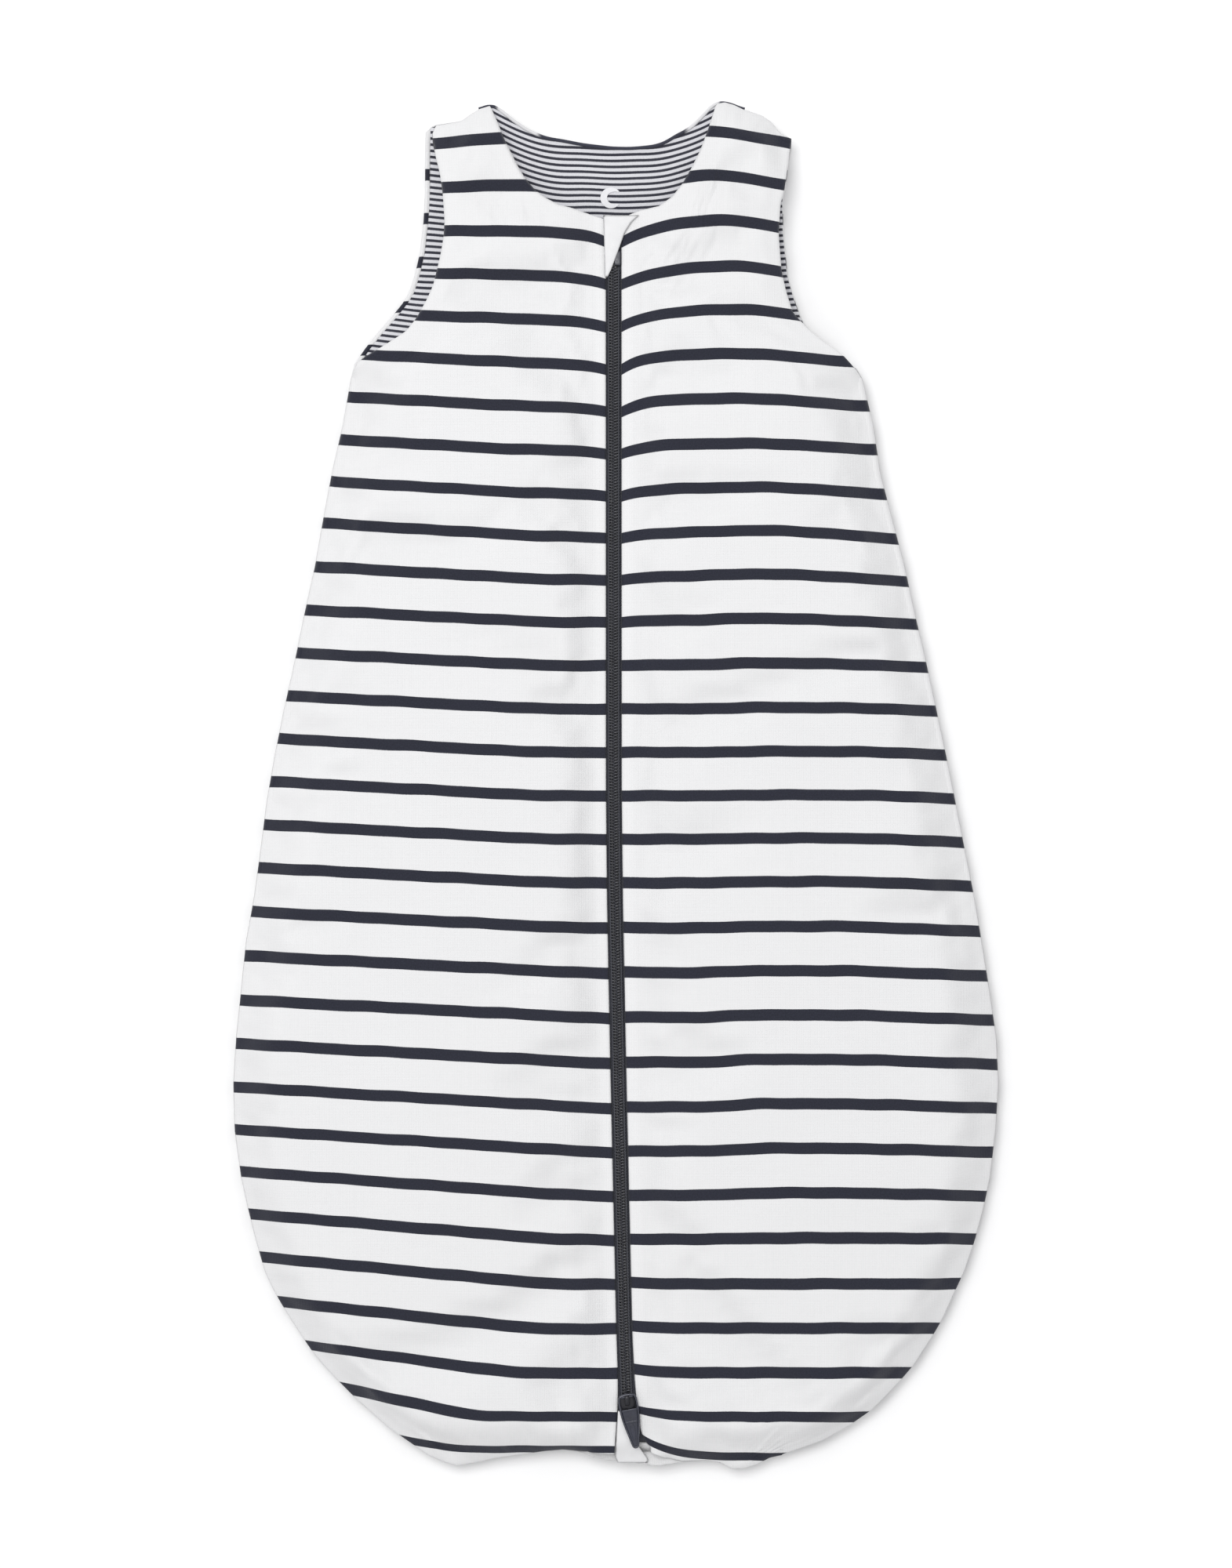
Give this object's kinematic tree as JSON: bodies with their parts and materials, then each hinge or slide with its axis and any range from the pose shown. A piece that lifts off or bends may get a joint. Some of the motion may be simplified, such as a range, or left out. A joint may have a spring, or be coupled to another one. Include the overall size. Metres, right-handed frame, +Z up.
{
  "type": "baby sleeping bag",
  "caption": "Padded sleeveless baby sleeping bag with a striped knit outside, a fine-striped lining, a full-length front zip with slider and puller, and front edges that fold back.",
  "frame": {"origin": "middle of the bag's plan, on the floor it lies on", "axes": "+Y from foot to neck, +Z up through the front, +X across to the edge that carries the slider"},
  "size_m": [0.3909, 0.6988, 0.0319],
  "materials": {
    "striped_knit": "matte jersey, white with narrow dark stripes across",
    "lining_knit": "matte jersey with fine dark and pale stripes",
    "wadding_fleece": "white polyester wadding",
    "trim_cloth": "plain white jersey",
    "zip_tape": "woven polyester tape, charcoal",
    "coil_nylon": "nylon coil, charcoal",
    "zip_metal": "glossy near-black enamel on zinc",
    "pin_plastic": "moulded, charcoal"
  },
  "bodies": {
    "bag": {"back_shell": "striped_knit", "back_wadding": "wadding_fleece", "back_lining": "lining_knit", "neck_binding": "striped_knit", "left_side_shell": "striped_knit", "left_side_wadding": "wadding_fleece", "left_side_lining": "lining_knit", "right_side_shell": "striped_knit", "right_side_wadding": "wadding_fleece", "right_side_lining": "lining_knit"},
    "left_flap": {"left_flap_shell": "striped_knit", "left_flap_wadding": "wadding_fleece", "left_flap_lining": "lining_knit", "zip_tape_left": "zip_tape", "zip_coil_left": "coil_nylon", "zip_stop_left": "zip_metal", "zip_pin": "pin_plastic", "zip_underlap": "trim_cloth", "top_guard": "trim_cloth"},
    "right_flap": {"right_flap_shell": "striped_knit", "right_flap_wadding": "wadding_fleece", "right_flap_lining": "lining_knit", "zip_tape_right": "zip_tape", "zip_coil_right": "coil_nylon", "zip_stop_right": "zip_metal", "zip_box": "pin_plastic", "zip_foot_stay": "trim_cloth"},
    "zip_slider": {"slider_body": "zip_metal", "slider_crown": "zip_metal"},
    "zip_puller": {"puller": "zip_metal"}
  },
  "joints": [
    {"name": "left_flap_fold", "type": "hinge", "parent": "bag", "child": "left_flap", "pos_m": [-0.0068, -0.345, 0.018], "axis": [0.0817, -0.9967, -0.0043], "range_deg": [0, 135], "deforming": ["zip_tape_left", "zip_coil_left", "zip_stop_left", "zip_underlap"]},
    {"name": "right_flap_fold", "type": "hinge", "parent": "bag", "child": "right_flap", "pos_m": [0.0192, -0.345, 0.018], "axis": [0.048, 0.9988, 0.0043], "range_deg": [0, 135], "deforming": ["top_guard"]},
    {"name": "slider_run", "type": "slide", "parent": "right_flap", "child": "zip_slider", "axis": [-0.0121, 0.9999, 0.0079], "range_m": [0, 0.54]},
    {"name": "puller_turn", "type": "hinge", "parent": "zip_slider", "child": "zip_puller", "pos_m": [0.0058, -0.31204, 0.02046], "axis": [-0.9999, -0.0121, 0], "range_deg": [0, 178]}
  ]
}
